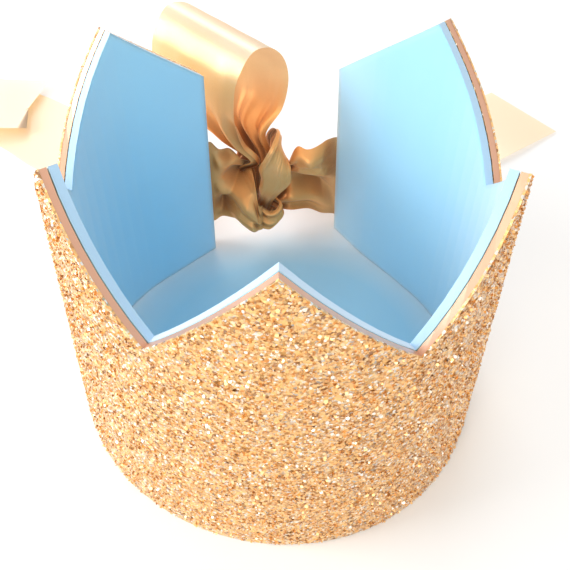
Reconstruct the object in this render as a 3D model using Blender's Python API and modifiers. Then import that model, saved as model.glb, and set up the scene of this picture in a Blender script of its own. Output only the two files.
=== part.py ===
"""Small five-point crown cut from two layers of craft sheet, tied at the back with satin ribbon.

Metres, +Z up. The front point faces -Y. The origin is under the middle of the whole crown and its
ribbons, on the table that it stands on.
"""
import math

import bmesh
import bpy
import numpy as np
from mathutils import Matrix, Vector

# The strip, measured along its outer face from the middle of the front point
RING_RADIUS = 0.060
POINT_COUNT = 5
POINT_ANGLE = math.radians(65.5)
LEFT_END_ANGLE = math.radians(158.8)
RIGHT_END_ANGLE = math.radians(165.3)
VALLEY_HEIGHT = 0.073
POINT_HEIGHT = 0.103
POINT_PITCH = RING_RADIUS * POINT_ANGLE
STRIP_LEFT = RING_RADIUS * LEFT_END_ANGLE
STRIP_RIGHT = RING_RADIUS * RIGHT_END_ANGLE

# The two sheets and the glue line between them
OUTER_SHEET = 0.0020
INNER_SHEET = 0.0020
GLUE_GAP = 0.0003
POCKET_LENGTH = 0.030

# How the strip is bent: its curvature at shares of half its pattern, as shares of a full round
BEND_PLACE_SHARES = (0.0, 0.25, 0.5, 0.7, 0.85, 1.0)
BEND_LEFT_SHARES = (0.92, 0.86, 1.06, 1.29, 0.33, 0.0)
BEND_RIGHT_SHARES = (0.92, 1.10, 0.88, 1.31, -0.30, -0.08)
FRONT_LEAN = math.radians(5.0)
BACK_LEAN = math.radians(2.2)
SIDE_LEAN = math.radians(1.2)
COLUMNS_PER_SLOPE = 7
PLAN_SAMPLES = 801

# The ribbon
RIBBON_WIDTH = 0.038
RIBBON_THICKNESS = 0.0004
RIBBON_TUCK = 0.012
TUCK_SHARES = (1.0, 0.7, 0.4, 0.1, -0.2)
FOLD_DEPTH = 0.0024
FOLD_COUNT = 6
ROLL_TURN = math.radians(150)
ROLL_RISE_SHARE = 0.25
STRANDS_ACROSS = 18
STEPS_PER_ROW = 2
LEFT_EXIT_HEIGHT = 0.031
RIGHT_EXIT_HEIGHT = 0.023
LEFT_CUT_SLANT = 0.014
RIGHT_CUT_SLANT = 0.0
KNOT_ALONG_SHARE = 0.445
KNOT_BACK = 0.0026

# Where the ribbons run. Each row is a place from the foot of the knot in ribbon widths, the way that the
# ribbon's width points there, how wide it is spread, how deep its folds may be and how far it is rolled.
# The first table is the half that comes in from the left, passes over the front of the knot, hooks back
# at its right and goes up into the loop and off as the left tail.
LEFT_RIBBON_SHARES = (
    ((-0.34, -0.15, 0.79), (0.0, -0.2, -1.0), 0.74, 0.8, 0.0),
    ((-0.23, -0.21, 0.73), (0.0, -0.3, -0.95), 0.66, 0.8, 0.0),
    ((-0.15, -0.24, 0.68), (0.0, -0.38, -0.92), 0.60, 0.4, 0.0),
    ((-0.055, -0.28, 0.49), (0.0, -0.1, -1.0), 0.28, 0.3, -0.2),
    ((0.01, -0.29, 0.46), (0.0, 0.0, -1.0), 0.24, 0.3, -0.4),
    ((0.08, -0.27, 0.48), (0.0, 0.1, -1.0), 0.20, 0.2, -0.5),
    ((0.12, -0.20, 0.51), (0.0, 0.0, -1.0), 0.20, 0.2, -0.5),
    ((0.07, -0.13, 0.54), (0.1, 0.0, -1.0), 0.20, 0.2, -0.4),
    ((-0.02, -0.09, 0.59), (-0.3, 0.0, -0.95), 0.20, 0.2, -0.2),
    ((-0.08, -0.06, 0.70), (-0.7, 0.0, -0.7), 0.20, 0.3, 0.0),
    ((-0.08, -0.01, 0.82), (-0.9, 0.2, -0.35), 0.20, 0.4, 0.2),
    ((-0.095, 0.08, 0.96), (-0.85, 0.5, -0.05), 0.30, 0.5, 0.1),
    ((-0.19, 0.20, 1.09), (-0.78, 0.62, 0.04), 0.52, 0.8, 0.0),
    ((-0.26, 0.28, 1.19), (-0.76, 0.65, 0.04), 0.63, 0.8, 0.0),
    ((-0.18, 0.46, 1.41), (-0.76, 0.65, 0.04), 0.82, 0.8, 0.0),
    ((-0.18, 0.57, 1.66), (-0.76, 0.65, 0.04), 0.96, 0.8, 0.0),
    ((-0.25, 0.49, 1.96), (-0.76, 0.65, 0.04), 0.99, 0.8, 0.0),
    ((-0.37, 0.35, 2.11), (-0.76, 0.65, 0.04), 1.0, 0.0, 0.0),
    ((-0.46, 0.24, 2.14), (-0.76, 0.65, 0.04), 1.0, 0.0, 0.0),
    ((-0.59, 0.09, 1.97), (-0.76, 0.65, 0.04), 0.99, 0.8, 0.0),
    ((-0.62, 0.04, 1.67), (-0.76, 0.65, 0.04), 0.95, 0.8, 0.0),
    ((-0.53, 0.04, 1.42), (-0.76, 0.65, 0.04), 0.74, 0.8, 0.0),
    ((-0.37, 0.01, 1.20), (-0.74, 0.66, 0.04), 0.44, 0.8, 0.0),
    ((-0.19, -0.02, 1.03), (-0.65, 0.70, 0.2), 0.30, 0.7, 0.2),
    ((-0.26, 0.04, 0.90), (-0.30, 0.95, 0.1), 0.20, 0.5, 0.2),
    ((-0.31, 0.19, 0.71), (0.15, 0.95, 0.1), 0.24, 0.7, 0.0),
    ((-0.48, 0.38, 0.54), (0.30, 0.95, 0.1), 0.38, 0.9, 0.0),
    ((-0.72, 0.57, 0.36), (0.35, 0.90, 0.0), 0.58, 0.9, 0.0),
    ((-1.05, 0.74, 0.13), (0.45, 0.89, 0.0), 0.85, 0.8, 0.0),
    ((-1.47, 0.90, 0.016), (0.50, 0.86, 0.0), 1.0, 0.0, 0.0),
    ((-1.93, 1.11, 0.016), (0.55, 0.83, 0.0), 1.0, 0.0, 0.0),
    ((-2.41, 1.37, 0.016), (0.59, 0.81, 0.0), 1.0, 0.0, 0.0),
    ((-2.90, 1.74, 0.016), (0.57, 0.82, 0.0), 1.0, 0.0, 0.0),
    ((-3.42, 2.01, 0.016), (0.35, 0.94, 0.0), 1.0, 0.0, 0.0),
    ((-3.80, 2.08, 0.016), (0.12, 0.99, 0.0), 1.0, 0.0, 0.0),
    ((-4.00, 2.09, 0.05), (0.0, 1.0, 0.0), 1.0, 0.0, 0.0),
    ((-4.07, 2.07, 0.14), (-0.06, 1.0, 0.0), 1.0, 0.0, 0.0),
    ((-3.98, 2.04, 0.235), (-0.1, 0.99, 0.0), 1.0, 0.0, 0.0),
    ((-3.74, 2.01, 0.235), (-0.14, 0.99, 0.0), 1.0, 0.0, 0.0),
    ((-3.40, 2.00, 0.16), (-0.18, 0.98, 0.0), 1.0, 0.0, 0.0),
    ((-2.98, 2.06, 0.10), (-0.20, 0.98, 0.0), 1.0, 0.0, 0.0),
)
# The half that comes in from the right behind the first, turns up through its hook, goes over the front
# of the knot, round the loop's neck and off as the right tail
RIGHT_RIBBON_SHARES = (
    ((0.24, 0.01, 0.72), (0.05, 0.1, 1.0), 0.74, 0.8, 0.0),
    ((0.11, 0.03, 0.58), (0.10, 0.1, 1.0), 0.50, 0.6, 0.0),
    ((0.01, 0.02, 0.43), (0.0, 0.0, 1.0), 0.30, 0.5, 0.0),
    ((-0.08, -0.04, 0.31), (-0.5, 0.0, 0.85), 0.18, 0.3, 0.3),
    ((-0.12, -0.12, 0.32), (-0.9, 0.2, 0.35), 0.14, 0.1, 0.5),
    ((-0.09, -0.17, 0.47), (-0.95, 0.0, 0.3), 0.12, 0.1, 0.5),
    ((-0.03, -0.175, 0.62), (-0.95, 0.0, 0.3), 0.15, 0.1, 0.5),
    ((0.01, -0.21, 0.75), (-0.93, 0.0, 0.3), 0.20, 0.1, 0.55),
    ((0.07, -0.21, 0.87), (-0.95, 0.0, 0.15), 0.27, 0.1, 0.6),
    ((0.07, -0.20, 0.99), (-0.98, -0.1, 0.1), 0.29, 0.1, 0.6),
    ((0.09, -0.15, 1.09), (-0.68, -0.50, 0.35), 0.26, 0.1, 0.6),
    ((0.09, -0.06, 1.17), (-0.15, -0.72, 0.60), 0.24, 0.1, 0.6),
    ((0.105, 0.05, 1.19), (-0.05, -0.45, 0.85), 0.19, 0.1, 0.5),
    ((0.075, 0.18, 1.10), (-0.40, 0.25, 0.8), 0.17, 0.2, 0.4),
    ((0.04, 0.26, 0.96), (-0.75, 0.60, 0.2), 0.19, 0.4, 0.2),
    ((0.08, 0.33, 0.75), (-0.65, 0.75, 0.05), 0.22, 0.6, 0.0),
    ((0.18, 0.38, 0.55), (-0.60, 0.80, 0.05), 0.28, 0.8, 0.0),
    ((0.38, 0.46, 0.40), (-0.50, 0.85, 0.1), 0.42, 0.9, 0.0),
    ((0.70, 0.63, 0.22), (-0.50, 0.86, 0.0), 0.70, 0.9, 0.0),
    ((1.17, 0.87, 0.07), (-0.55, 0.83, 0.0), 0.96, 0.5, 0.0),
    ((1.75, 1.20, 0.016), (-0.6, 0.8, 0.0), 1.0, 0.0, 0.0),
    ((2.38, 1.62, 0.05), (-0.63, 0.78, 0.0), 1.0, 0.0, 0.0),
    ((3.01, 2.09, 0.016), (-0.63, 0.78, 0.0), 1.0, 0.0, 0.0),
)
# The strands between the sheets and the knot: how far in, height and spread in ribbon widths, folds
LEFT_STRAND_SHARES = ((0.40, 0.80, 0.86, 0.9),)
RIGHT_STRAND_SHARES = ((0.36, 0.64, 0.92, 0.9), (0.70, 0.69, 0.80, 0.9))

GOLD = (0.80, 0.52, 0.28, 1.0)
SKY_BLUE = (0.28, 0.60, 0.90, 1.0)
SATIN = (0.62, 0.42, 0.20, 1.0)


def material(name, colour, roughness, metallic):
    made = bpy.data.materials.new(name)
    made.use_nodes = True
    shader = made.node_tree.nodes["Principled BSDF"]
    shader.inputs["Base Color"].default_value = colour
    shader.inputs["Roughness"].default_value = roughness
    shader.inputs["Metallic"].default_value = metallic
    return made


def half_pattern():
    """Half the length of the whole flat pattern, before its two ends are trimmed."""
    return POINT_PITCH * POINT_COUNT / 2


def plan_line():
    """Arc lengths, places and headings along the bottom edge of the strip's outer face."""
    reach = max(STRIP_LEFT, STRIP_RIGHT, half_pattern()) + RIBBON_TUCK
    arc = np.linspace(-reach, reach, PLAN_SAMPLES)
    places = np.array(BEND_PLACE_SHARES) * half_pattern()
    left = np.interp(-arc, places, BEND_LEFT_SHARES)
    right = np.interp(arc, places, BEND_RIGHT_SHARES)
    bend = np.where(arc < 0, left, right) / RING_RADIUS
    step = arc[1] - arc[0]
    heading = np.concatenate(([0.0], np.cumsum((bend[1:] + bend[:-1]) / 2 * step)))
    heading -= np.interp(0.0, arc, heading)
    across = np.cos(heading)
    along = np.sin(heading)
    x = np.concatenate(([0.0], np.cumsum((across[1:] + across[:-1]) / 2 * step)))
    y = np.concatenate(([0.0], np.cumsum((along[1:] + along[:-1]) / 2 * step)))
    x -= np.interp(0.0, arc, x)
    y -= np.interp(0.0, arc, y) + RING_RADIUS
    return arc, x, y, heading


PLAN = plan_line()


def wall_point(arc, height, inset):
    """The point on the bent strip at an arc length and a height, so far in from its outer face."""
    stations, xs, ys, headings = PLAN
    heading = float(np.interp(arc, stations, headings))
    lean = FRONT_LEAN * (1 + math.cos(heading)) / 2
    lean += BACK_LEAN * (1 - math.cos(heading)) / 2
    lean -= SIDE_LEAN * math.sin(heading)
    outward = Vector((math.sin(heading), -math.cos(heading), 0))
    foot = Vector((float(np.interp(arc, stations, xs)), float(np.interp(arc, stations, ys)), height))
    return foot - outward * (math.tan(lean) * height + inset)


def slope_height(arc):
    """Height of the zigzag top edge at an arc length, the slopes of the end points running on."""
    furthest = (POINT_COUNT - 1) / 2
    point = max(-furthest, min(furthest, round(arc / POINT_PITCH)))
    fall = (POINT_HEIGHT - VALLEY_HEIGHT) / (POINT_PITCH / 2)
    return POINT_HEIGHT - fall * abs(arc - point * POINT_PITCH)


def sheet_outline():
    """The flat pattern's corners: arc length along, height up."""
    slopes = POINT_COUNT - 1
    corners = [(-STRIP_LEFT, 0.0), (STRIP_RIGHT, 0.0), (STRIP_RIGHT, slope_height(STRIP_RIGHT))]
    for index in range(slopes, -slopes - 1, -1):
        arc = index * POINT_PITCH / 2
        corners.append((arc, slope_height(arc)))
    corners.append((-STRIP_LEFT, slope_height(-STRIP_LEFT)))
    return corners


def flat_sheet(name, thickness):
    """The zigzag strip as a flat slab, cut into columns narrow enough to bend."""
    pattern = bpy.data.curves.new(name, "CURVE")
    pattern.dimensions = "2D"
    pattern.fill_mode = "BOTH"
    pattern.extrude = thickness / 2
    corners = sheet_outline()
    spline = pattern.splines.new("POLY")
    spline.points.add(len(corners) - 1)
    for point, (arc, height) in zip(spline.points, corners):
        point.co = (arc, height, 0.0, 1.0)
    spline.use_cyclic_u = True
    holder = bpy.data.objects.new(name + "_pattern", pattern)
    bpy.context.scene.collection.objects.link(holder)
    graph = bpy.context.evaluated_depsgraph_get()
    mesh = bpy.data.meshes.new_from_object(holder.evaluated_get(graph))
    bpy.data.objects.remove(holder)
    slab = bmesh.new()
    slab.from_mesh(mesh)
    bmesh.ops.remove_doubles(slab, verts=slab.verts, dist=GLUE_GAP / 100)
    bmesh.ops.dissolve_limit(slab, angle_limit=math.radians(1), verts=slab.verts, edges=slab.edges)
    column = POINT_PITCH / 2 / COLUMNS_PER_SLOPE
    first = math.ceil(-STRIP_LEFT / column + 0.2)
    last = math.floor(STRIP_RIGHT / column - 0.2)
    for index in range(first, last + 1):
        geometry = slab.verts[:] + slab.edges[:] + slab.faces[:]
        cut = (index * column, 0, 0)
        bmesh.ops.bisect_plane(slab, geom=geometry, plane_co=cut, plane_no=(1, 0, 0), dist=GLUE_GAP / 100)
    return mesh, slab


def pocket_depth(arc):
    """How far the lining stands off near an end of the strip, where the ribbon lies behind it."""
    to_end = min(STRIP_LEFT + arc, STRIP_RIGHT - arc)
    share = max(0.0, min(1.0, 2 * (1 - to_end / POCKET_LENGTH)))
    return (RIBBON_THICKNESS + GLUE_GAP) * share * share * (3 - 2 * share)


def bent_sheet(name, thickness, face_inset, has_pocket, finish, home):
    mesh, slab = flat_sheet(name, thickness)
    for vertex in slab.verts:
        arc, height, depth = vertex.co
        inset = face_inset + thickness / 2 - depth
        if has_pocket:
            inset += pocket_depth(arc)
        vertex.co = wall_point(arc, height, inset)
    bmesh.ops.recalc_face_normals(slab, faces=slab.faces)
    if slab.calc_volume(signed=True) < 0:
        bmesh.ops.reverse_faces(slab, faces=slab.faces)
    slab.to_mesh(mesh)
    slab.free()
    sheet = bpy.data.objects.new(name, mesh)
    mesh.materials.clear()
    mesh.materials.append(finish)
    home.objects.link(sheet)
    mesh.shade_smooth()
    mesh.set_sharp_from_angle(angle=math.radians(30))
    return sheet


def smooth_rows(rows, steps):
    """Rows filled in along a smooth curve that allows for their uneven spacing."""
    table = np.array(rows, dtype=float)
    gaps = np.linalg.norm(np.diff(table[:, :3], axis=0), axis=1)[:, None]
    slopes = np.diff(table, axis=0) / gaps
    inner = (slopes[:-1] * gaps[1:] + slopes[1:] * gaps[:-1]) / (gaps[:-1] + gaps[1:])
    tangents = np.concatenate((slopes[:1], inner, slopes[-1:]))
    made = []
    for index, gap in enumerate(gaps):
        for step in range(steps):
            t = step / steps
            from_start = (2 * t ** 3 - 3 * t ** 2 + 1) * table[index]
            from_end = (3 * t ** 2 - 2 * t ** 3) * table[index + 1]
            leaving = (t ** 3 - 2 * t ** 2 + t) * gap * tangents[index]
            arriving = (t ** 3 - t ** 2) * gap * tangents[index + 1]
            made.append(from_start + from_end + leaving + arriving)
    made.append(table[-1])
    return np.array(made)


def fold_profile():
    """The shape of the folds across the ribbon, nought at both edges and about one at its crests."""
    across = np.linspace(0, 1, STRANDS_ACROSS + 1)
    uneven = across + 0.03 * np.sin(2 * math.pi * across)
    waves = np.sin(FOLD_COUNT * math.pi * uneven)
    return across, waves * (0.8 + 0.2 * np.cos(3 * math.pi * across))


def rolled_section(spread, roll):
    """The ribbon's section without its folds: flat, or rolled towards a tube, and the way out of it."""
    aside = 2 * fold_profile()[0] - 1
    turn = ROLL_TURN * abs(roll)
    if turn < math.radians(1):
        return aside * spread / 2, np.zeros_like(aside), np.zeros_like(aside), np.ones_like(aside)
    width = np.sin(turn * aside) / math.sin(min(turn, math.pi / 2)) * spread / 2
    rise = np.cos(turn * aside) - (1 + math.cos(turn)) / 2
    height = math.copysign(ROLL_RISE_SHARE, roll) * spread * rise
    along = np.gradient(width)
    up = np.gradient(height)
    length = np.hypot(along, up)
    return width, height, -up / length, along / length


def folded_section(spread, fold, roll):
    """The section with folds as high as the width needs that a narrower spread leaves over."""
    waves = fold_profile()[1]
    width, height, out_width, out_height = rolled_section(spread, roll)
    low = 0.0
    high = FOLD_DEPTH
    for _ in range(24):
        middle = (low + high) / 2
        aside = width + out_width * waves * middle
        up = height + out_height * waves * middle
        if np.hypot(np.diff(aside), np.diff(up)).sum() < RIBBON_WIDTH:
            low = middle
        else:
            high = middle
    depth = fold * (low + high) / 2
    return width + out_width * waves * depth, height + out_height * waves * depth


def ribbon_rows(tuck_rows, strand_rows, table, knot):
    """Every row of a ribbon as place, width direction, spread, fold share and roll."""
    rows = tuck_rows + strand_rows
    for place, width_way, spread, fold, roll in table:
        spot = np.array(place) * RIBBON_WIDTH + knot
        rows.append((*spot, *width_way, spread * RIBBON_WIDTH, fold, roll))
    return rows


def tuck_station(arc, middle_height, upward):
    """A row where the ribbon lies flat between the two sheets, its width pointing up or down."""
    inset = OUTER_SHEET + GLUE_GAP + RIBBON_THICKNESS / 2
    top = np.array(wall_point(arc, middle_height + RIBBON_WIDTH / 2, inset))
    foot = np.array(wall_point(arc, middle_height - RIBBON_WIDTH / 2, inset))
    way = upward * (top - foot) / np.linalg.norm(top - foot)
    return (*((top + foot) / 2), *way, RIBBON_WIDTH, 0.0, 0.0)


def strand_rows_between(exit_row, table, shares, knot):
    """Rows between a sheet's end and the first row of the knot."""
    start = np.array(exit_row[:3])
    neck = np.array(table[0][0]) * RIBBON_WIDTH + knot
    rows = []
    for along, height, spread, fold in shares:
        spot = start + (neck - start) * along
        spot[2] = height * RIBBON_WIDTH
        rows.append((*spot, *exit_row[3:6], spread * RIBBON_WIDTH, fold, 0.0))
    return rows


def ribbon_surface(name, rows, cut_slant, finish, home):
    """Sweep the folded section along the rows and give it the ribbon's thickness."""
    stations = smooth_rows(rows, STEPS_PER_ROW)
    places = stations[:, :3]
    headings = np.gradient(places, axis=0)
    headings /= np.linalg.norm(headings, axis=1)[:, None]
    across = fold_profile()[0]
    grid = []
    for index, row in enumerate(stations):
        heading = headings[index]
        way = row[3:6] / np.linalg.norm(row[3:6])
        normal = np.cross(heading, way)
        normal /= np.linalg.norm(normal)
        spread = min(row[6], RIBBON_WIDTH)
        aside, lift = folded_section(spread, row[7], row[8])
        line = row[:3] + np.outer(aside, way) + np.outer(lift, normal)
        if index == len(stations) - 1:
            line = line + np.outer((across - 1 / 2) * cut_slant, heading)
        grid.append(line)
    surface = bmesh.new()
    made = [[surface.verts.new(point) for point in line] for line in grid]
    for first, second in zip(made[:-1], made[1:]):
        for left in range(STRANDS_ACROSS):
            surface.faces.new((first[left], first[left + 1], second[left + 1], second[left]))
    mesh = bpy.data.meshes.new(name)
    surface.to_mesh(mesh)
    surface.free()
    mesh.materials.append(finish)
    mesh.shade_smooth()
    ribbon = bpy.data.objects.new(name, mesh)
    home.objects.link(ribbon)
    shell = ribbon.modifiers.new("thickness", "SOLIDIFY")
    shell.thickness = RIBBON_THICKNESS
    shell.offset = 0
    return ribbon


def centre_on_origin(pieces):
    """Move everything so that the origin lies under the middle of the whole."""
    graph = bpy.context.evaluated_depsgraph_get()
    corners = [corner for piece in pieces for corner in piece.evaluated_get(graph).bound_box]
    low = [min(corner[axis] for corner in corners) for axis in range(2)]
    high = [max(corner[axis] for corner in corners) for axis in range(2)]
    shift = Matrix.Translation((-(low[0] + high[0]) / 2, -(low[1] + high[1]) / 2, 0))
    for piece in pieces:
        piece.data.transform(shift)


def build():
    for old in list(bpy.data.objects):
        bpy.data.objects.remove(old)
    home = bpy.data.collections.new("paper_crown")
    bpy.context.scene.collection.children.link(home)
    glitter = material("gold_glitter", GOLD, 0.45, 0.6)
    blue = material("sky_blue_sheet", SKY_BLUE, 0.75, 0.0)
    left_satin = material("left_gold_satin", SATIN, 0.35, 0.0)
    right_satin = material("right_gold_satin", SATIN, 0.35, 0.0)

    bent_sheet("glitter_outer_sheet", OUTER_SHEET, 0.0, False, glitter, home)
    bent_sheet("blue_inner_sheet", INNER_SHEET, OUTER_SHEET + GLUE_GAP, True, blue, home)

    tuck = [RIBBON_TUCK * share for share in TUCK_SHARES]
    left_tuck = [tuck_station(depth - STRIP_LEFT, LEFT_EXIT_HEIGHT, -1) for depth in tuck]
    right_tuck = [tuck_station(STRIP_RIGHT - depth, RIGHT_EXIT_HEIGHT, 1) for depth in tuck]
    left_end = np.array(tuck_station(-STRIP_LEFT, LEFT_EXIT_HEIGHT, -1)[:3])
    right_end = np.array(tuck_station(STRIP_RIGHT, RIGHT_EXIT_HEIGHT, 1)[:3])
    knot = left_end + (right_end - left_end) * KNOT_ALONG_SHARE
    knot[1] += KNOT_BACK
    knot[2] = 0.0
    left_strand = strand_rows_between(left_tuck[-1], LEFT_RIBBON_SHARES, LEFT_STRAND_SHARES, knot)
    right_strand = strand_rows_between(right_tuck[-1], RIGHT_RIBBON_SHARES, RIGHT_STRAND_SHARES, knot)
    left_rows = ribbon_rows(left_tuck, left_strand, LEFT_RIBBON_SHARES, knot)
    right_rows = ribbon_rows(right_tuck, right_strand, RIGHT_RIBBON_SHARES, knot)
    ribbon_surface("ribbon_left", left_rows, LEFT_CUT_SLANT, left_satin, home)
    ribbon_surface("ribbon_right", right_rows, RIGHT_CUT_SLANT, right_satin, home)
    centre_on_origin(list(home.objects))


build()
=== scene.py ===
"""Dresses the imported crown: glitter, foam and satin, on a pale table under soft light."""
import math

import bmesh
import bpy
import numpy as np
from mathutils import Matrix, Vector


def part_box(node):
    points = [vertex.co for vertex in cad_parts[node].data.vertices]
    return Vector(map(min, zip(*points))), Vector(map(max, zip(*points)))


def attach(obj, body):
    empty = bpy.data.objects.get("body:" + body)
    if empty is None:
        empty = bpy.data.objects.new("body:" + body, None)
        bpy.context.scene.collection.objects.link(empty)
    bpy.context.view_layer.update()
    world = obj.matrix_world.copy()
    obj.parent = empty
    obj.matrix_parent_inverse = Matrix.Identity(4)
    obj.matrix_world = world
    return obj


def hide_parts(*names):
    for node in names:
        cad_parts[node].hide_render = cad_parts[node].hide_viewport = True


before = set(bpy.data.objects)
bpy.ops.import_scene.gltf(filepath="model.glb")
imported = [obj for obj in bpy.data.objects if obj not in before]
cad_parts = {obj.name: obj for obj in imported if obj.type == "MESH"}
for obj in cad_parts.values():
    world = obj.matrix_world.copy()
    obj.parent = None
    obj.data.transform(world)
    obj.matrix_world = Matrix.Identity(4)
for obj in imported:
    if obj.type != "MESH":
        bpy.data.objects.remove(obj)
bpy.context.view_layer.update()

# The strip, as in the part's source: metres along its outer face from the middle of the front
# point
RING_RADIUS = 0.060
POINT_COUNT = 5
POINT_PITCH = RING_RADIUS * math.radians(65.5)
VALLEY_HEIGHT = 0.073
POINT_HEIGHT = 0.103
STRIP_LEFT = RING_RADIUS * math.radians(158.8)
STRIP_RIGHT = RING_RADIUS * math.radians(165.3)
OUTER_SHEET = 0.0020
GLUE_GAP = 0.0003
# How it is bent: its curvature at shares of half its pattern, as shares of a full round
BEND_PLACE_SHARES = (0.0, 0.25, 0.5, 0.7, 0.85, 1.0)
BEND_LEFT_SHARES = (0.92, 0.86, 1.06, 1.29, 0.33, 0.0)
BEND_RIGHT_SHARES = (0.92, 1.10, 0.88, 1.31, -0.30, -0.08)
FRONT_LEAN = math.radians(5.0)
BACK_LEAN = math.radians(2.2)
SIDE_LEAN = math.radians(1.2)
PLAN_SAMPLES = 801

# The ribbons
RIBBON_WIDTH = 0.038
RIBBON_LAYER = 0.0004
RIBBON_TUCK = 0.012
TUCK_SHARES = (1.0, 0.7, 0.4, 0.1, -0.2)
LEFT_EXIT_HEIGHT = 0.031
RIGHT_EXIT_HEIGHT = 0.023
LEFT_CUT_SLANT = 0.014
RIGHT_CUT_SLANT = 0.0
KNOT_ALONG_SHARE = 0.445
KNOT_BACK = 0.0026
KNOT_MIDDLE = (0.0145, 0.006, 0.028)
# Their section across: folds that take up the width, and how far a full roll turns and rises
FOLD_DEPTH = 0.0024
FOLD_COUNT = 6
FOLD_DRIFT = 0.03
FOLD_LEVEL = 0.8
FOLD_SWING = 0.2
FOLD_SWING_COUNT = 3
FOLD_SEARCH_STEPS = 20
ROLL_TURN = math.radians(150)
ROLL_RISE = 0.25
FLAT_TURN = math.radians(1)
STRANDS_ACROSS = 72
STEPS_PER_ROW = 12

# The glitter
FLAKE_SEED = 11
FLAKE_COUNT = 45000
FLAKE_SIDES = 6
FLAKE_RADIUS = 0.00036
FLAKE_SIZE_SHARES = (0.6, 1.3)
FLAKE_MARGIN_SHARE = 0.8
FLAKE_LIFTS = (0.00005, 0.00030)
FLAKE_TILT = 0.55
FLAKE_MOST_TILT = 1.2
GLITTER_COAT = 0.0004
RIM_SAMPLES = 500
RIM_LIFT = 0.00012


def running_sum(values, step):
    """The integral from the first value on, by trapezoids."""
    return np.concatenate(([0.0], np.cumsum((values[1:] + values[:-1]) / 2 * step)))


def plan_line():
    """The outer face's foot as arc lengths, places and headings, its front point at -Y."""
    half_pattern = POINT_PITCH * POINT_COUNT / 2
    reach = max(STRIP_LEFT, STRIP_RIGHT, half_pattern) + RIBBON_TUCK
    arc = np.linspace(-reach, reach, PLAN_SAMPLES)
    places = np.array(BEND_PLACE_SHARES) * half_pattern
    left = np.interp(-arc, places, BEND_LEFT_SHARES)
    right = np.interp(arc, places, BEND_RIGHT_SHARES)
    bend = np.where(arc < 0, left, right) / RING_RADIUS
    step = arc[1] - arc[0]
    heading = running_sum(bend, step)
    heading -= np.interp(0.0, arc, heading)
    x = running_sum(np.cos(heading), step)
    y = running_sum(np.sin(heading), step)
    x -= np.interp(0.0, arc, x)
    y -= np.interp(0.0, arc, y) + RING_RADIUS
    return arc, x, y, heading


PLAN = plan_line()


def wall_points(arc, height, inset):
    """Points on the bent strip for arc lengths and heights, before the shift, and the ways out."""
    stations, xs, ys, headings = PLAN
    heading = np.interp(arc, stations, headings)
    lean = FRONT_LEAN * (1 + np.cos(heading)) / 2 + BACK_LEAN * (1 - np.cos(heading)) / 2
    lean = lean - SIDE_LEAN * np.sin(heading)
    outward = np.stack((np.sin(heading), -np.cos(heading), np.zeros_like(heading)), axis=-1)
    foot = np.stack((np.interp(arc, stations, xs), np.interp(arc, stations, ys), height), axis=-1)
    return foot - outward * (np.tan(lean) * height + inset)[..., None], outward


def plan_shift():
    """The frame's origin is under the middle of it all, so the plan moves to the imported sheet."""
    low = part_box("glitter_outer_sheet")[0]
    arc = np.linspace(-STRIP_LEFT, STRIP_RIGHT, PLAN_SAMPLES)
    feet = wall_points(arc, np.zeros_like(arc), 0.0)[0]
    return np.array((low[0] - feet[:, 0].min(), low[1] - feet[:, 1].min(), 0.0))


SHIFT = plan_shift()


def add(name, data):
    made = bpy.data.objects.new(name, data)
    bpy.context.scene.collection.objects.link(made)
    return made


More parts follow.
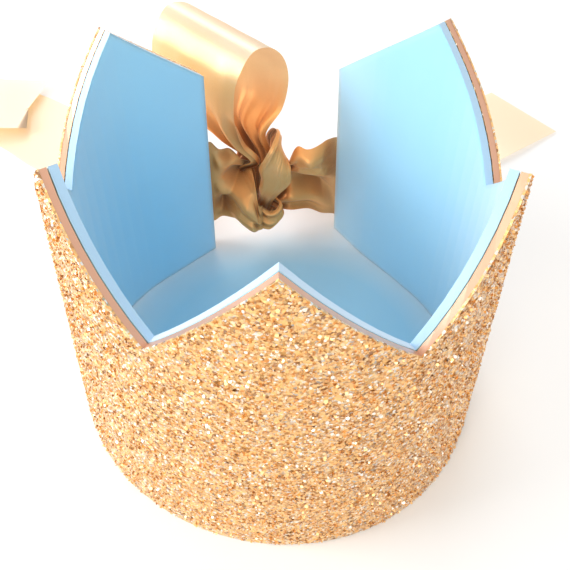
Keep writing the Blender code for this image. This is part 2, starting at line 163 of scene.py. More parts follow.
# Where the ribbons run. Each row is a place from the foot of the knot in ribbon widths, the way
# that the ribbon's width points there, how wide it is spread, how deep its folds may be and how
# far it is rolled.
# The first half comes in from the left, passes over the front of the knot, hooks back at its
# right, goes up into the loop and off as the left tail
LEFT_RIBBON_SHARES = (
    ((-0.34, -0.15, 0.79), (0.0, -0.2, -1.0), 0.74, 0.5, 0.0),
    ((-0.23, -0.21, 0.73), (0.0, -0.3, -0.95), 0.66, 0.5, 0.0),
    ((-0.15, -0.24, 0.68), (0.0, -0.38, -0.92), 0.60, 0.4, 0.0),
    ((-0.055, -0.28, 0.49), (0.0, -0.1, -1.0), 0.28, 0.3, -0.2),
    ((0.01, -0.29, 0.46), (0.0, 0.0, -1.0), 0.24, 0.3, -0.4),
    ((0.08, -0.27, 0.48), (0.0, 0.1, -1.0), 0.20, 0.2, -0.5),
    ((0.12, -0.20, 0.51), (0.0, 0.0, -1.0), 0.20, 0.2, -0.5),
    ((0.07, -0.13, 0.54), (0.1, 0.0, -1.0), 0.20, 0.2, -0.4),
    ((-0.02, -0.09, 0.59), (-0.3, 0.0, -0.95), 0.20, 0.2, -0.2),
    ((-0.08, -0.06, 0.70), (-0.7, 0.0, -0.7), 0.20, 0.3, 0.0),
    ((-0.08, -0.01, 0.82), (-0.9, 0.2, -0.35), 0.20, 0.4, 0.2),
    ((-0.095, 0.08, 0.96), (-0.85, 0.5, -0.05), 0.30, 0.5, 0.1),
    ((-0.19, 0.20, 1.09), (-0.78, 0.62, 0.04), 0.52, 0.8, 0.0),
    ((-0.26, 0.28, 1.19), (-0.76, 0.65, 0.04), 0.63, 0.8, 0.0),
    ((-0.18, 0.46, 1.41), (-0.76, 0.65, 0.04), 0.82, 0.3, 0.0),
    ((-0.18, 0.57, 1.66), (-0.76, 0.65, 0.04), 0.96, 0.3, 0.0),
    ((-0.25, 0.49, 1.96), (-0.76, 0.65, 0.04), 0.99, 0.3, 0.0),
    ((-0.37, 0.35, 2.11), (-0.76, 0.65, 0.04), 1.0, 0.0, 0.0),
    ((-0.46, 0.24, 2.14), (-0.76, 0.65, 0.04), 1.0, 0.0, 0.0),
    ((-0.59, 0.09, 1.97), (-0.76, 0.65, 0.04), 0.99, 0.3, 0.0),
    ((-0.62, 0.04, 1.67), (-0.76, 0.65, 0.04), 0.95, 0.3, 0.0),
    ((-0.53, 0.04, 1.42), (-0.76, 0.65, 0.04), 0.74, 0.8, 0.0),
    ((-0.37, 0.01, 1.20), (-0.74, 0.66, 0.04), 0.44, 0.8, 0.0),
    ((-0.19, -0.02, 1.03), (-0.65, 0.70, 0.2), 0.30, 0.7, 0.2),
    ((-0.26, 0.04, 0.90), (-0.30, 0.95, 0.1), 0.20, 0.5, 0.2),
    ((-0.31, 0.19, 0.71), (0.15, 0.95, 0.1), 0.24, 0.7, 0.0),
    ((-0.48, 0.38, 0.54), (0.30, 0.95, 0.1), 0.38, 0.9, 0.0),
    ((-0.72, 0.57, 0.36), (0.35, 0.90, 0.0), 0.58, 0.9, 0.0),
    ((-1.05, 0.74, 0.13), (0.45, 0.89, 0.0), 0.85, 0.8, 0.0),
    ((-1.47, 0.90, 0.016), (0.50, 0.86, 0.0), 1.0, 0.0, 0.0),
    ((-1.93, 1.11, 0.016), (0.55, 0.83, 0.0), 1.0, 0.0, 0.0),
    ((-2.41, 1.37, 0.016), (0.59, 0.81, 0.0), 1.0, 0.0, 0.0),
    ((-2.90, 1.74, 0.016), (0.57, 0.82, 0.0), 1.0, 0.0, 0.0),
    ((-3.42, 2.01, 0.016), (0.35, 0.94, 0.0), 1.0, 0.0, 0.0),
    ((-3.80, 2.08, 0.016), (0.12, 0.99, 0.0), 1.0, 0.0, 0.0),
    ((-4.00, 2.09, 0.05), (0.0, 1.0, 0.0), 1.0, 0.0, 0.0),
    ((-4.07, 2.07, 0.14), (-0.06, 1.0, 0.0), 1.0, 0.0, 0.0),
    ((-3.98, 2.04, 0.235), (-0.1, 0.99, 0.0), 1.0, 0.0, 0.0),
    ((-3.74, 2.01, 0.235), (-0.14, 0.99, 0.0), 1.0, 0.0, 0.0),
    ((-3.40, 2.00, 0.16), (-0.18, 0.98, 0.0), 1.0, 0.0, 0.0),
    ((-2.98, 2.06, 0.10), (-0.20, 0.98, 0.0), 1.0, 0.0, 0.0),
)
# The half that comes in from the right behind the first, turns up through its hook, goes over the
# front of the knot, round the loop's neck and off as the right tail
RIGHT_RIBBON_SHARES = (
    ((0.24, 0.01, 0.72), (0.05, 0.1, 1.0), 0.74, 0.8, 0.0),
    ((0.11, 0.03, 0.58), (0.10, 0.1, 1.0), 0.50, 0.6, 0.0),
    ((0.01, 0.02, 0.42), (0.0, 0.0, 1.0), 0.38, 0.5, 0.0),
    ((-0.08, -0.04, 0.31), (-0.5, 0.0, 0.85), 0.26, 0.3, 0.3),
    ((-0.12, -0.12, 0.32), (-0.9, 0.2, 0.35), 0.18, 0.1, 0.5),
    ((-0.09, -0.17, 0.47), (-0.95, 0.0, 0.3), 0.17, 0.1, 0.5),
    ((-0.03, -0.175, 0.62), (-0.95, 0.0, 0.3), 0.15, 0.1, 0.5),
    ((0.01, -0.21, 0.75), (-0.93, 0.0, 0.3), 0.20, 0.1, 0.55),
    ((0.07, -0.21, 0.87), (-0.95, 0.0, 0.15), 0.27, 0.1, 0.6),
    ((0.07, -0.20, 0.99), (-0.98, -0.1, 0.1), 0.29, 0.1, 0.6),
    ((0.09, -0.15, 1.09), (-0.68, -0.50, 0.35), 0.26, 0.1, 0.6),
    ((0.09, -0.06, 1.17), (-0.15, -0.72, 0.60), 0.24, 0.1, 0.6),
    ((0.105, 0.05, 1.19), (-0.05, -0.45, 0.85), 0.19, 0.1, 0.5),
    ((0.075, 0.18, 1.10), (-0.40, 0.25, 0.8), 0.17, 0.2, 0.4),
    ((0.04, 0.26, 0.96), (-0.75, 0.60, 0.2), 0.19, 0.4, 0.2),
    ((0.08, 0.33, 0.75), (-0.65, 0.75, 0.05), 0.22, 0.6, 0.0),
    ((0.18, 0.38, 0.55), (-0.60, 0.80, 0.05), 0.28, 0.8, 0.0),
    ((0.38, 0.46, 0.40), (-0.50, 0.85, 0.1), 0.42, 0.9, 0.0),
    ((0.70, 0.63, 0.22), (-0.50, 0.86, 0.0), 0.70, 0.9, 0.0),
    ((1.17, 0.87, 0.07), (-0.55, 0.83, 0.0), 0.96, 0.5, 0.0),
    ((1.75, 1.20, 0.016), (-0.6, 0.8, 0.0), 1.0, 0.0, 0.0),
    ((2.38, 1.62, 0.05), (-0.63, 0.78, 0.0), 1.0, 0.0, 0.0),
    ((3.01, 2.09, 0.016), (-0.63, 0.78, 0.0), 1.0, 0.0, 0.0),
)
# The strands between the sheets and the knot: how far in, height and spread in ribbon widths, folds
LEFT_STRAND_SHARES = ((0.40, 0.80, 0.86, 0.6),)
RIGHT_STRAND_SHARES = ((0.36, 0.64, 0.92, 0.9), (0.70, 0.69, 0.80, 0.9))
# Sharp creases in the strands, seen from the front: from and to (sideways, height), reach and
# depth, all in ribbon widths. A ridge stands out towards the front, and a valley has its depth
# below zero.
LEFT_CREASE_SHARES = (
    ((-0.04, 1.00), (-0.26, 0.86), 0.16, -0.10),
    ((-0.26, 0.86), (-0.44, 0.56), 0.16, -0.10),
    ((-0.10, 0.52), (-0.34, 0.68), 0.20, 0.09),
)
RIGHT_CREASE_SHARES = (
    ((0.17, 0.90), (0.40, 0.95), 0.20, 0.10),
    ((0.40, 0.95), (0.66, 0.78), 0.20, 0.10),
    ((0.17, 0.80), (0.66, 0.40), 0.17, -0.13),
)
LEFT_CREASED_ROWS = 9
RIGHT_CREASED_ROWS = 8


def creased(line, creases, knot):
    """A line across the ribbon, pulled to the front or back where it crosses a crease."""
    sideways = (line[:, 0] - knot[0]) / RIBBON_WIDTH
    height = line[:, 2] / RIBBON_WIDTH
    made = line.copy()
    for (from_x, from_z), (to_x, to_z), reach, depth in creases:
        run_x, run_z = to_x - from_x, to_z - from_z
        t = ((sideways - from_x) * run_x + (height - from_z) * run_z) / (run_x ** 2 + run_z ** 2)
        t = np.clip(t, 0, 1)
        apart = np.hypot(sideways - from_x - t * run_x, height - from_z - t * run_z)
        made[:, 1] -= depth * RIBBON_WIDTH * np.maximum(0, 1 - apart / reach)
    return made


def smooth_rows(rows, steps):
    """The rows with steps between them, on a smooth curve through every row."""
    table = np.array(rows, dtype=float)
    gaps = np.linalg.norm(np.diff(table[:, :3], axis=0), axis=1)[:, None]
    slopes = np.diff(table, axis=0) / gaps
    inner = (slopes[:-1] * gaps[1:] + slopes[1:] * gaps[:-1]) / (gaps[:-1] + gaps[1:])
    tangents = np.concatenate((slopes[:1], inner, slopes[-1:]))
    made = []
    for index, gap in enumerate(gaps):
        for step in range(steps):
            t = step / steps
            from_start = (2 * t ** 3 - 3 * t ** 2 + 1) * table[index]
            from_end = (3 * t ** 2 - 2 * t ** 3) * table[index + 1]
            leaving = (t ** 3 - 2 * t ** 2 + t) * gap * tangents[index]
            arriving = (t ** 3 - t ** 2) * gap * tangents[index + 1]
            made.append(from_start + from_end + leaving + arriving)
    made.append(table[-1])
    return np.array(made)


ACROSS = np.linspace(0, 1, STRANDS_ACROSS + 1)
WAVES = np.sin(FOLD_COUNT * math.pi * (ACROSS + FOLD_DRIFT * np.sin(2 * math.pi * ACROSS)))
WAVES *= FOLD_LEVEL + FOLD_SWING * np.cos(FOLD_SWING_COUNT * math.pi * ACROSS)


def section(spread, fold, roll):
    """The ribbon's section across: rolled towards a tube, with folds that take up its width."""
    aside = 2 * ACROSS - 1
    turn = ROLL_TURN * abs(roll)
    width = aside * spread / 2
    height = np.zeros_like(aside)
    if turn > FLAT_TURN:
        width = np.sin(turn * aside) / math.sin(min(turn, math.pi / 2)) * spread / 2
        rise = np.cos(turn * aside) - (1 + math.cos(turn)) / 2
        height = math.copysign(ROLL_RISE, roll) * spread * rise
    along, up = np.gradient(width), np.gradient(height)
    length = np.hypot(along, up)
    out_width, out_height = -up / length * WAVES, along / length * WAVES
    low, high = 0.0, FOLD_DEPTH
    for _ in range(FOLD_SEARCH_STEPS):
        middle = (low + high) / 2
        steps = np.hypot(np.diff(width + out_width * middle), np.diff(height + out_height * middle))
        if steps.sum() < RIBBON_WIDTH:
            low = middle
        else:
            high = middle
    depth = fold * (low + high) / 2
    return width + out_width * depth, height + out_height * depth


def tuck_row(arc, middle_height, upward):
    """A row of the ribbon between the two sheets, at an arc length of the strip."""
    inset = OUTER_SHEET + GLUE_GAP + RIBBON_LAYER / 2
    heights = middle_height + np.array((-0.5, 0.5)) * RIBBON_WIDTH
    foot, top = wall_points(np.full(2, arc), heights, inset)[0]
    way = upward * (top - foot) / np.linalg.norm(top - foot)
    return (*((top + foot) / 2), *way, RIBBON_WIDTH, 0.0, 0.0)


def ribbon_rows(tuck, table, strand, knot):
    """All rows of one half: its tuck between the sheets, its strand to the knot, and its table."""
    start = np.array(tuck[-1][:3])
    neck = np.array(table[0][0]) * RIBBON_WIDTH + knot
    rows = list(tuck)
    for along, height, spread, fold in strand:
        spot = start + (neck - start) * along
        spot[2] = height * RIBBON_WIDTH
        rows.append((*spot, *tuck[-1][3:6], spread * RIBBON_WIDTH, fold, 0.0))
    for place, way, spread, fold, roll in table:
        spot = np.array(place) * RIBBON_WIDTH + knot
        rows.append((*spot, *way, spread * RIBBON_WIDTH, fold, roll))
    return rows


def ribbon(name, node, rows, cut_slant, creases, creased_rows, knot, finish):
    """One half of the ribbon as a single layer of cloth, in place of its solid."""
    stations = smooth_rows(rows, STEPS_PER_ROW)
    places = stations[:, :3]
    headings = np.gradient(places, axis=0)
    headings /= np.linalg.norm(headings, axis=1)[:, None]
    run = np.concatenate(([0.0], np.cumsum(np.linalg.norm(np.diff(places, axis=0), axis=1))))
    grid = []
    for index, row in enumerate(stations):
        way = row[3:6] / np.linalg.norm(row[3:6])
        normal = np.cross(headings[index], way)
        normal /= np.linalg.norm(normal)
        spread = min(row[6], RIBBON_WIDTH)
        aside, lift = section(spread, row[7], row[8])
        line = row[:3] + np.outer(aside, way) + np.outer(lift, normal)
        if index == len(stations) - 1:
            line = line + np.outer((ACROSS - 0.5) * cut_slant, headings[index])
        out_of_tuck = index / STEPS_PER_ROW - (len(TUCK_SHARES) - 1)
        if 0 < out_of_tuck and index < creased_rows * STEPS_PER_ROW:
            line = line + (creased(line, creases, knot) - line) * min(1, out_of_tuck)
        grid.append(line + SHIFT)
    surface = bmesh.new()
    layer = surface.loops.layers.uv.new("UVMap")
    made = [[surface.verts.new(point) for point in line] for line in grid]
    for index in range(len(made) - 1):
        for left in range(STRANDS_ACROSS):
            corners = ((index, left), (index, left + 1), (index + 1, left + 1), (index + 1, left))
            face = surface.faces.new([made[i][j] for i, j in corners])
            face.smooth = True
            for loop, (i, j) in zip(face.loops, corners):
                loop[layer].uv = (ACROSS[j] * RIBBON_WIDTH, run[i])
    mesh = bpy.data.meshes.new(name)
    surface.to_mesh(mesh)
    surface.free()
    mesh.materials.append(finish)
    piece = add(name, mesh)
    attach(piece, "root")
    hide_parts(node)
    return piece


# Colours are linear. What is the same all over a surface stands in a table of shader inputs.
# Rays for shelter and for bends
RAY_SAMPLES = 8

# The satin's gold from sheltered to open within a reach: painted shade, darker and redder, where
# it is sheltered, and a painted pale highlight in the open; and painted shade in the narrowest
# crevices
SATIN_SHADE_GOLD_HIGHLIGHT_STOPS = (
    (0.15, (0.50, 0.19, 0.04)),
    (0.50, (0.74, 0.37, 0.11)),
    (0.75, (0.84, 0.53, 0.23)),
    (0.90, (0.94, 0.71, 0.42)),
    (1.0, (0.99, 0.91, 0.77)),
)
SATIN_REACH = 0.055
# Painted shade in the narrowest crevices, multiplied over the gold
CREVICE_PAINTED_SHADE_STOPS = ((0.30, (0.22, 0.13, 0.08)), (0.80, (1.0, 1.0, 1.0)))
CREVICE_REACH = 0.010
# What changes away from the middle of the knot, over which distances and between which ends
# Over this reach the tails lose the painted shade and keep the painted pale highlight
TAIL_FADE = (0.058, 0.085)
# Painted warm light on the knot: where it fades out, its shares and its colour
KNOT_WARM_LIGHT_FADE = (0.026, 0.042)
KNOT_WARM_LIGHT_SHARES = (0.85, 0.0)
KNOT_PAINTED_WARM_LIGHT = (1.0, 0.42, 0.13)
GATHER_FADE = (0.022, 0.045)
GATHER_DEPTHS = (0.0012, 0.0)
THROUGH_FADE = (0.022, 0.038)
THROUGH_SHARES = (0.05, 0.36)
THROUGH_GOLD = (1.0, 0.74, 0.43)
# Threads and gathers, in the space of the flat ribbon
THREAD_STRETCH = (6000.0, 60.0, 1.0)
THREAD_NOISE = {"Scale": 1.0, "Detail": 2.0}
THREAD_BUMP = {"Strength": 0.25, "Distance": 0.00015}
GATHER_STRETCH = (260.0, 30.0, 1.0)
GATHER_NOISE = {"Scale": 1.0, "Detail": 2.0, "Distortion": 0.6}
GATHER_STRENGTH = 0.4
SATIN = {
    "Roughness": 0.36,
    "Metallic": 0.3,
    "Specular IOR Level": 0.6,
    "Specular Tint": (1.0, 0.62, 0.32),
    "Coat Weight": 0.1,
    "Coat Roughness": 0.38,
    "Coat Tint": (1.0, 0.93, 0.80),
    "Anisotropic": 0.5,
    "Sheen Weight": 0.2,
    "Sheen Tint": (1.0, 0.8, 0.5),
}

# The foam: its broad faces, slightly clouded, and its cut edges, known by how far up they face
FOAM_STOPS = ((0.35, (0.25, 0.70, 0.97)), (0.65, (0.28, 0.73, 0.99)))
FOAM_EDGE = (0.34, 0.62, 0.90)
FOAM_CLOUDS = {"Scale": 35.0, "Detail": 4.0}
FOAM_GRAIN = {"Scale": 2600.0, "Detail": 2.0}
FOAM_BUMP = {"Strength": 0.12, "Distance": 0.0002}
FOAM_BEND_REACH = 0.003
EDGE_UP_SHARES = (0.35, 0.45)
FOAM = {
    "Roughness": 0.5,
    "Specular IOR Level": 1.0,
    "Coat Weight": 0.5,
    "Coat Roughness": 0.5,
    "Sheen Weight": 1.0,
    "Sheen Roughness": 0.7,
}

# The glitter's colours, each from its share of the flakes on, and the foam under it where it is cut
GLITTER_STOPS = (
    (0.0, (0.30, 0.13, 0.04)),
    (0.07, (0.62, 0.30, 0.09)),
    (0.18, (0.90, 0.50, 0.16)),
    (0.62, (1.0, 0.60, 0.22)),
    (0.84, (1.0, 0.74, 0.42)),
    (0.92, (1.0, 0.96, 0.88)),
)
GLITTER_EDGE = (0.72, 0.39, 0.25)
GLITTER_CELLS = {"Scale": 1500.0}
GLITTER_LEAN = 1.1
GLITTER_BASE = {"Metallic": 0.3, "Roughness": 0.35, "Coat Weight": 0.8, "Coat Roughness": 0.2}
FLAKE = {
    "Metallic": 0.5,
    "Roughness": 0.3,
    "Coat Weight": 1.0,
    "Coat Roughness": 0.2,
    "Coat IOR": 1.7,
}


def plug(tree, value, socket):
    """Gives an input a number, a vector or a colour, or links it to another node's output."""
    if isinstance(value, bpy.types.NodeSocket):
        tree.links.new(value, socket)
    elif isinstance(value, tuple) and len(value) < len(socket.default_value):
        socket.default_value = (*value, 1.0)
    else:
        socket.default_value = value


def node(tree, kind, inputs, **settings):
    made = tree.nodes.new(kind)
    for key, value in settings.items():
        setattr(made, key, value)
    for key, value in inputs.items():
        plug(tree, value, made.inputs[key])
    return made


def new_material(name, values):
    made = bpy.data.materials.new(name)
    made.use_nodes = True
    tree = made.node_tree
    shader = tree.nodes["Principled BSDF"]
    for key, value in values.items():
        plug(tree, value, shader.inputs[key])
    return made, tree, shader


def ramp(tree, stops, value):
    made = node(tree, "ShaderNodeValToRGB", {"Fac": value})
    while len(made.color_ramp.elements) < len(stops):
        made.color_ramp.elements.new(0.5)
    for element, (place, colour) in zip(made.color_ramp.elements, stops):
        element.position = place
        element.color = (*colour, 1.0)
    return made.outputs["Color"]


def mixed(tree, share, first, second, blend="MIX"):
    inputs = {0: share, 6: first, 7: second}
    return node(tree, "ShaderNodeMix", inputs, data_type="RGBA", blend_type=blend).outputs[2]


def maths(tree, operation, first, second):
    return node(tree, "ShaderNodeMath", {0: first, 1: second}, operation=operation).outputs["Value"]


def vectors(tree, operation, inputs):
    return node(tree, "ShaderNodeVectorMath", inputs, operation=operation).outputs["Vector"]


def fade(tree, value, reach, ends=(0.0, 1.0)):
    """Goes evenly from the first end to the second while the value crosses the reach."""
    inputs = dict(zip(("From Min", "From Max", "To Min", "To Max"), (*reach, *ends)), Value=value)
    return node(tree, "ShaderNodeMapRange", inputs).outputs["Result"]


def noise(tree, space, values, **settings):
    return node(tree, "ShaderNodeTexNoise", {"Vector": space, **values}, **settings).outputs["Fac"]


def bump(tree, values):
    return node(tree, "ShaderNodeBump", values).outputs["Normal"]


def object_space(tree):
    return node(tree, "ShaderNodeTexCoord", {}).outputs["Object"]


def ribbon_space(tree, stretch):
    flat = node(tree, "ShaderNodeUVMap", {}).outputs["UV"]
    return node(tree, "ShaderNodeMapping", {"Vector": flat, "Scale": stretch}).outputs["Vector"]


def geometry(tree, output):
    return node(tree, "ShaderNodeNewGeometry", {}).outputs[output]


def distance(tree, spot):
    inputs = {0: object_space(tree), 1: spot}
    return node(tree, "ShaderNodeVectorMath", inputs, operation="DISTANCE").outputs["Value"]


def clearance(tree, reach):
    """1 in the open, falling to 0 where something near shelters the surface."""
    inputs = {"Distance": reach}
    return node(tree, "ShaderNodeAmbientOcclusion", inputs, samples=RAY_SAMPLES).outputs["AO"]


def edge_mask(tree):
    """1 on the cut edges that face up, 0 on the broad faces."""
    split = node(tree, "ShaderNodeSeparateXYZ", {"Vector": geometry(tree, "True Normal")})
    return fade(tree, split.outputs["Z"], EDGE_UP_SHARES)


def show(tree, share, first, second, output):
    """Sends a mix of two shaders to the named output node."""
    mix = node(tree, "ShaderNodeMixShader", {0: share, 1: first, 2: second})
    plug(tree, mix.outputs["Shader"], tree.nodes[output].inputs["Surface"])


def satin_material(name):
    made, tree, shader = new_material(name, SATIN)
    apart = distance(tree, KNOT_MIDDLE)
    # Painted shade: where satin is sheltered its gold is darker and redder, and in the open it is a
    # painted pale highlight. The tails get no painted shade and stay painted pale also where they
    # are folded.
    tail = fade(tree, apart, TAIL_FADE)
    painted_shade_and_highlight = ramp(tree, SATIN_SHADE_GOLD_HIGHLIGHT_STOPS, maths(tree, "MAXIMUM", clearance(tree, SATIN_REACH), tail))
    # Painted shade, dark brown, in the narrowest crevices
    painted_crevice_shade = ramp(tree, CREVICE_PAINTED_SHADE_STOPS, maths(tree, "MAXIMUM", clearance(tree, CREVICE_REACH), tail))
    # Painted warm light near the middle of the knot: the gold is pushed towards a deep orange there
    with_painted_warm_light = mixed(tree, fade(tree, apart, KNOT_WARM_LIGHT_FADE, KNOT_WARM_LIGHT_SHARES), painted_shade_and_highlight, KNOT_PAINTED_WARM_LIGHT)
    plug(tree, mixed(tree, 1.0, with_painted_warm_light, painted_crevice_shade, "MULTIPLY"), shader.inputs["Base Color"])
    # Threads run along the ribbon: very long, very narrow noise across the width
    threads = noise(tree, ribbon_space(tree, THREAD_STRETCH), THREAD_NOISE)
    woven = bump(tree, {**THREAD_BUMP, "Height": threads})
    # Small gathers run along it too, near the knot alone
    space = ribbon_space(tree, GATHER_STRETCH)
    gathers = noise(tree, space, GATHER_NOISE, noise_type="RIDGED_MULTIFRACTAL")
    depth = fade(tree, apart, GATHER_FADE, GATHER_DEPTHS)
    inputs = {"Strength": GATHER_STRENGTH, "Distance": depth, "Height": gathers, "Normal": woven}
    plug(tree, bump(tree, inputs), shader.inputs["Normal"])
    tangent = node(tree, "ShaderNodeTangent", {}, direction_type="UV_MAP")
    plug(tree, tangent.outputs["Tangent"], shader.inputs["Tangent"])
    # The knot is many layers thick and lets little light through
    through = node(tree, "ShaderNodeBsdfTranslucent", {"Color": THROUGH_GOLD})
    share = fade(tree, apart, THROUGH_FADE, THROUGH_SHARES)
    show(tree, share, shader.outputs["BSDF"], through.outputs["BSDF"], "Material Output")
    return made


def foam_material(name):
    made, tree, shader = new_material(name, FOAM)
    position = object_space(tree)
    faces = ramp(tree, FOAM_STOPS, noise(tree, position, FOAM_CLOUDS))
    plug(tree, mixed(tree, edge_mask(tree), faces, FOAM_EDGE), shader.inputs["Base Color"])
    # The bend of the sheet is even between the columns of the mesh
    bend = node(tree, "ShaderNodeBevel", {"Radius": FOAM_BEND_REACH}, samples=RAY_SAMPLES)
    inputs = {0: edge_mask(tree), 4: bend.outputs["Normal"], 5: geometry(tree, "Normal")}
    even = node(tree, "ShaderNodeMix", inputs, data_type="VECTOR").outputs[1]
    grain = noise(tree, position, FOAM_GRAIN)
    plug(tree, bump(tree, {**FOAM_BUMP, "Height": grain, "Normal": even}), shader.inputs["Normal"])
    return made


def glitter_base_material(name, cut_edge):
    """Glitter too fine to strew, with the foam's cut edge if it has one."""
    made, tree, shader = new_material(name, GLITTER_BASE)
    inputs = {"Vector": object_space(tree), **GLITTER_CELLS}
    cells = node(tree, "ShaderNodeTexVoronoi", inputs).outputs["Color"]
    first_channel = node(tree, "ShaderNodeSeparateColor", {"Color": cells}).outputs[0]
    colour = ramp(tree, GLITTER_STOPS, first_channel)
    # Every cell leans its own way, as a flake does
    lean = vectors(tree, "SUBTRACT", {0: cells, 1: (0.5, 0.5, 0.5)})
    if cut_edge:
        edge = edge_mask(tree)
        colour = mixed(tree, edge, colour, GLITTER_EDGE)
        lean = vectors(tree, "SCALE", {0: lean, "Scale": maths(tree, "SUBTRACT", 1.0, edge)})
    inputs = {0: lean, 1: (GLITTER_LEAN,) * 3, 2: geometry(tree, "Normal")}
    lean = vectors(tree, "MULTIPLY_ADD", inputs)
    facing = vectors(tree, "NORMALIZE", {0: lean})
    plug(tree, colour, shader.inputs["Base Color"])
    plug(tree, facing, shader.inputs["Normal"])
    plug(tree, facing, shader.inputs["Coat Normal"])
    return made


def flake_material(name):
    made, tree, shader = new_material(name, FLAKE)
    colour = ramp(tree, GLITTER_STOPS, geometry(tree, "Random Per Island"))
    plug(tree, colour, shader.inputs["Base Color"])
    return made


def slope_heights(arc):
    """The height of the zigzag top edge at arc lengths."""
    furthest = (POINT_COUNT - 1) / 2
    point = np.clip(np.round(arc / POINT_PITCH), -furthest, furthest)
    fall = (POINT_HEIGHT - VALLEY_HEIGHT) / (POINT_PITCH / 2)
    return POINT_HEIGHT - fall * np.abs(arc - point * POINT_PITCH)


def glitter_flakes(finish):
    """Six-sided flakes strewn over the outer face, each tilted its own way."""
    random = np.random.default_rng(FLAKE_SEED)
    margin = FLAKE_RADIUS * FLAKE_MARGIN_SHARE
    arc = random.uniform(-STRIP_LEFT + margin, STRIP_RIGHT - margin, FLAKE_COUNT * 2)
    height = random.uniform(margin, POINT_HEIGHT, FLAKE_COUNT * 2)
    keep = height < slope_heights(arc) - margin
    arc, height = arc[keep][:FLAKE_COUNT], height[keep][:FLAKE_COUNT]
    count = len(arc)
    lift = random.uniform(*FLAKE_LIFTS, count)
    centre, outward = wall_points(arc, height, -lift)
    along = np.stack((-outward[:, 1], outward[:, 0], np.zeros(count)), axis=-1)
    upward = np.cross(outward, along)
    tilt = np.minimum(random.exponential(FLAKE_TILT, count), FLAKE_MOST_TILT)
    way = random.uniform(0, 2 * math.pi, count)
    lean_way = np.cos(way)[:, None] * along + np.sin(way)[:, None] * upward
    normal = np.cos(tilt)[:, None] * outward + np.sin(tilt)[:, None] * lean_way
    first = np.cross(normal, upward)
    first /= np.linalg.norm(first, axis=1)[:, None]
    second = np.cross(normal, first)
    side_turn = 2 * math.pi / FLAKE_SIDES
    spin = random.uniform(0, side_turn, count)
    radius = FLAKE_RADIUS * random.uniform(*FLAKE_SIZE_SHARES, count)
    corners = []
    for side in range(FLAKE_SIDES):
        angle = (spin + side * side_turn)[:, None]
        corners.append(centre + radius[:, None] * (np.cos(angle) * first + np.sin(angle) * second))
    points = np.stack(corners, axis=1).reshape(-1, 3) + SHIFT
    mesh = bpy.data.meshes.new("glitter_flakes")
    mesh.vertices.add(len(points))
    mesh.vertices.foreach_set("co", points.ravel())
    mesh.loops.add(len(points))
    mesh.loops.foreach_set("vertex_index", np.arange(len(points)))
    mesh.polygons.add(count)
    mesh.polygons.foreach_set("loop_start", np.arange(count) * FLAKE_SIDES)
    mesh.update(calc_edges=True)
    mesh.materials.append(finish)
    piece = add("glitter_flakes", mesh)
    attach(piece, "root")


def glitter_rim(finish):
    """The coat's part of the cut top edge, next to the bare foam."""
    steps = np.arange(-POINT_COUNT, POINT_COUNT + 1) * POINT_PITCH / 2
    arc = np.sort(np.concatenate((np.linspace(-STRIP_LEFT, STRIP_RIGHT, RIM_SAMPLES), steps)))
    arc = arc[(arc >= -STRIP_LEFT) & (arc <= STRIP_RIGHT)]
    height = slope_heights(arc) + RIM_LIFT
    outer = wall_points(arc, height, np.full_like(arc, -RIM_LIFT))[0] + SHIFT
    inner = wall_points(arc, height, np.full_like(arc, GLITTER_COAT))[0] + SHIFT
    surface = bmesh.new()
    edges = [[surface.verts.new(point) for point in line] for line in (outer, inner)]
    for left in range(len(arc) - 1):
        right = left + 1
        surface.faces.new((edges[0][left], edges[0][right], edges[1][right], edges[1][left]))
    mesh = bpy.data.meshes.new("glitter_rim")
    surface.to_mesh(mesh)
    surface.free()
    mesh.materials.append(finish)
    piece = add("glitter_rim", mesh)
    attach(piece, "root")


# The camera: its place from the plan's own origin, its yaw, pitch and roll in degrees, and its lens
CAMERA_PLACE = (0.003057, -0.127114, 0.192691)
CAMERA_TURNS = (-1.458, 50.034, -0.452)
CAMERA_LENS = 43.24
CAMERA_SENSOR = 36.0
CAMERA_NEAR = 0.01

# The table: its colour, and how much of its white the camera and gloss see, by metres from the
# middle of the ring. Inside the ring it is painted bluer and darker: painted blue bounce light from
# the foam and painted shade of the walls.
TABLE_HALF = 3.0
TABLE_DROP = 0.0002
TABLE_MIDDLE = (0.022, -0.049, 0.0)
TABLE_STOPS = ((0.35, (0.93, 0.93, 0.93)), (0.6, (0.97, 0.97, 0.965)))
TABLE_CLOUDS = {"Scale": 6.0, "Detail": 5.0}
TABLE_PAINTED_BLUE_SHADE = (0.55, 0.82, 0.95)
TABLE_PAINTED_SHADE_FADE = (0.044, 0.062)
TABLE_WHITE_SHARES = ((0.055, 0.0), (0.085, 0.45), (0.35, 0.50), (0.95, 0.97))
TABLE_GLOW = {"Strength": 1.0}
TABLE = {"Roughness": 0.6}

# The studio: what lights the object, what is seen of it, and soft lamps by name, place, size,
# watts and colour
SKY = {"Color": (0.97, 0.985, 1.0), "Strength": 0.58}
BACKDROP = {"Color": (1.0, 1.0, 1.0), "Strength": 1.0}
LAMPS = (
    ("key", (-1.20, -0.15, 0.65), 0.7, 15.0, (0.94, 0.98, 1.0)),
    ("window", (-0.05, 1.15, 0.90), 0.9, 9.0, (1.0, 0.99, 0.97)),
    ("fill", (-0.30, -1.02, 0.78), 0.8, 7.4, (1.0, 0.87, 0.70)),
)
LAMP_AIM = (0.02, -0.03, 0.04)


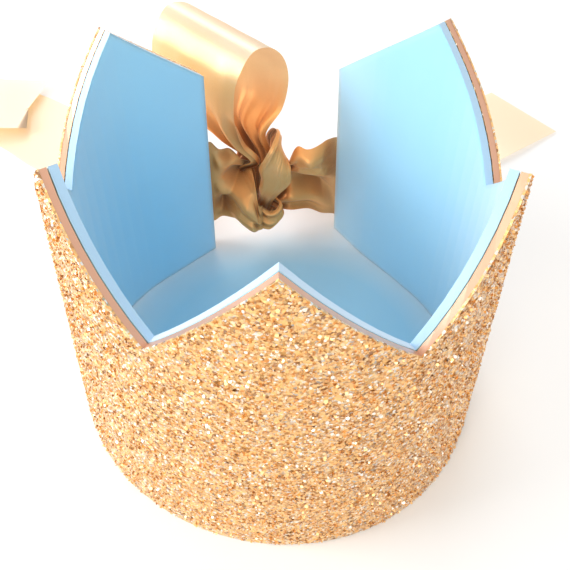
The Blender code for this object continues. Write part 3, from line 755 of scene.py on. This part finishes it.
def camera():
    data = bpy.data.cameras.new("camera")
    data.sensor_width = CAMERA_SENSOR
    data.lens = CAMERA_LENS
    data.clip_start = CAMERA_NEAR
    made = add("camera", data)
    yaw, pitch, roll = (math.radians(turn) for turn in CAMERA_TURNS)
    level = math.cos(pitch)
    ahead = Vector((math.sin(yaw) * level, math.cos(yaw) * level, -math.sin(pitch)))
    right = Vector((math.cos(yaw), -math.sin(yaw), 0.0))
    above = right.cross(ahead)
    side = right * math.cos(roll) + above * math.sin(roll)
    top = -right * math.sin(roll) + above * math.cos(roll)
    place = Vector(CAMERA_PLACE) + Vector(SHIFT)
    rows = [(side[i], top[i], -ahead[i], place[i]) for i in range(3)]
    made.matrix_world = Matrix((*rows, (0, 0, 0, 1)))
    bpy.context.scene.camera = made


def seen_rays(tree):
    """1 for what the camera, gloss and clear things see, 0 for what lights the object."""
    ray = node(tree, "ShaderNodeLightPath", {})
    gloss = maths(tree, "MAXIMUM", ray.outputs["Is Glossy Ray"], ray.outputs["Is Transmission Ray"])
    return maths(tree, "MAXIMUM", ray.outputs["Is Camera Ray"], gloss)


def floor_material():
    made, tree, shader = new_material("pale_table", TABLE)
    pale = ramp(tree, TABLE_STOPS, noise(tree, object_space(tree), TABLE_CLOUDS))
    apart = distance(tree, TABLE_MIDDLE)
    # Painted blue bounce light and painted shade inside the ring
    colour = mixed(tree, fade(tree, apart, TABLE_PAINTED_SHADE_FADE), TABLE_PAINTED_BLUE_SHADE, pale)
    plug(tree, colour, shader.inputs["Base Color"])
    white = ramp(tree, tuple((place, (share,) * 3) for place, share in TABLE_WHITE_SHARES), apart)
    share = maths(tree, "MULTIPLY", seen_rays(tree), white)
    glow = node(tree, "ShaderNodeEmission", TABLE_GLOW)
    show(tree, share, shader.outputs["BSDF"], glow.outputs["Emission"], "Material Output")
    return made


def floor():
    slab = bmesh.new()
    bmesh.ops.create_grid(slab, x_segments=1, y_segments=1, size=TABLE_HALF)
    mesh = bpy.data.meshes.new("table")
    slab.to_mesh(mesh)
    slab.free()
    mesh.materials.append(floor_material())
    made = add("table", mesh)
    made.location.z = -TABLE_DROP


def lights():
    world = bpy.data.worlds.new("studio")
    bpy.context.scene.world = world
    world.use_nodes = True
    tree = world.node_tree
    sky = tree.nodes["Background"]
    for key, value in SKY.items():
        plug(tree, value, sky.inputs[key])
    backdrop = node(tree, "ShaderNodeBackground", BACKDROP).outputs["Background"]
    show(tree, seen_rays(tree), sky.outputs["Background"], backdrop, "World Output")
    for name, place, size, power, colour in LAMPS:
        data = bpy.data.lights.new(name, "AREA")
        data.size = size
        data.energy = power
        data.color = colour
        lamp = add(name, data)
        lamp.location = place
        beam = Vector(LAMP_AIM) - Vector(place)
        lamp.rotation_euler = beam.to_track_quat("-Z", "Y").to_euler()


def refinish(name, finish):
    materials = bpy.data.objects[name].data.materials
    materials.clear()
    materials.append(finish)


def dress():
    bpy.context.scene.view_settings.view_transform = "Standard"
    refinish("glitter_outer_sheet", glitter_base_material("glitter_sheet", True))
    refinish("blue_inner_sheet", foam_material("blue_foam"))
    glitter_flakes(flake_material("glitter_flake"))
    glitter_rim(glitter_base_material("glitter_coat", False))
    left_end = np.array(tuck_row(-STRIP_LEFT, LEFT_EXIT_HEIGHT, -1)[:3])
    right_end = np.array(tuck_row(STRIP_RIGHT, RIGHT_EXIT_HEIGHT, 1)[:3])
    knot = left_end + (right_end - left_end) * KNOT_ALONG_SHARE
    knot[1] += KNOT_BACK
    knot[2] = 0.0
    tuck = [RIBBON_TUCK * share for share in TUCK_SHARES]
    left_tuck = [tuck_row(depth - STRIP_LEFT, LEFT_EXIT_HEIGHT, -1) for depth in tuck]
    right_tuck = [tuck_row(STRIP_RIGHT - depth, RIGHT_EXIT_HEIGHT, 1) for depth in tuck]
    satin = satin_material("gold_satin")
    left = ribbon_rows(left_tuck, LEFT_RIBBON_SHARES, LEFT_STRAND_SHARES, knot)
    right = ribbon_rows(right_tuck, RIGHT_RIBBON_SHARES, RIGHT_STRAND_SHARES, knot)
    left_piece = ribbon("satin_left", "ribbon_left", left, LEFT_CUT_SLANT, LEFT_CREASE_SHARES,
                        LEFT_CREASED_ROWS, knot, satin)
    right_piece = ribbon("satin_right", "ribbon_right", right, RIGHT_CUT_SLANT, RIGHT_CREASE_SHARES,
                         RIGHT_CREASED_ROWS, knot, satin)
    floor()
    lights()
    camera()


dress()
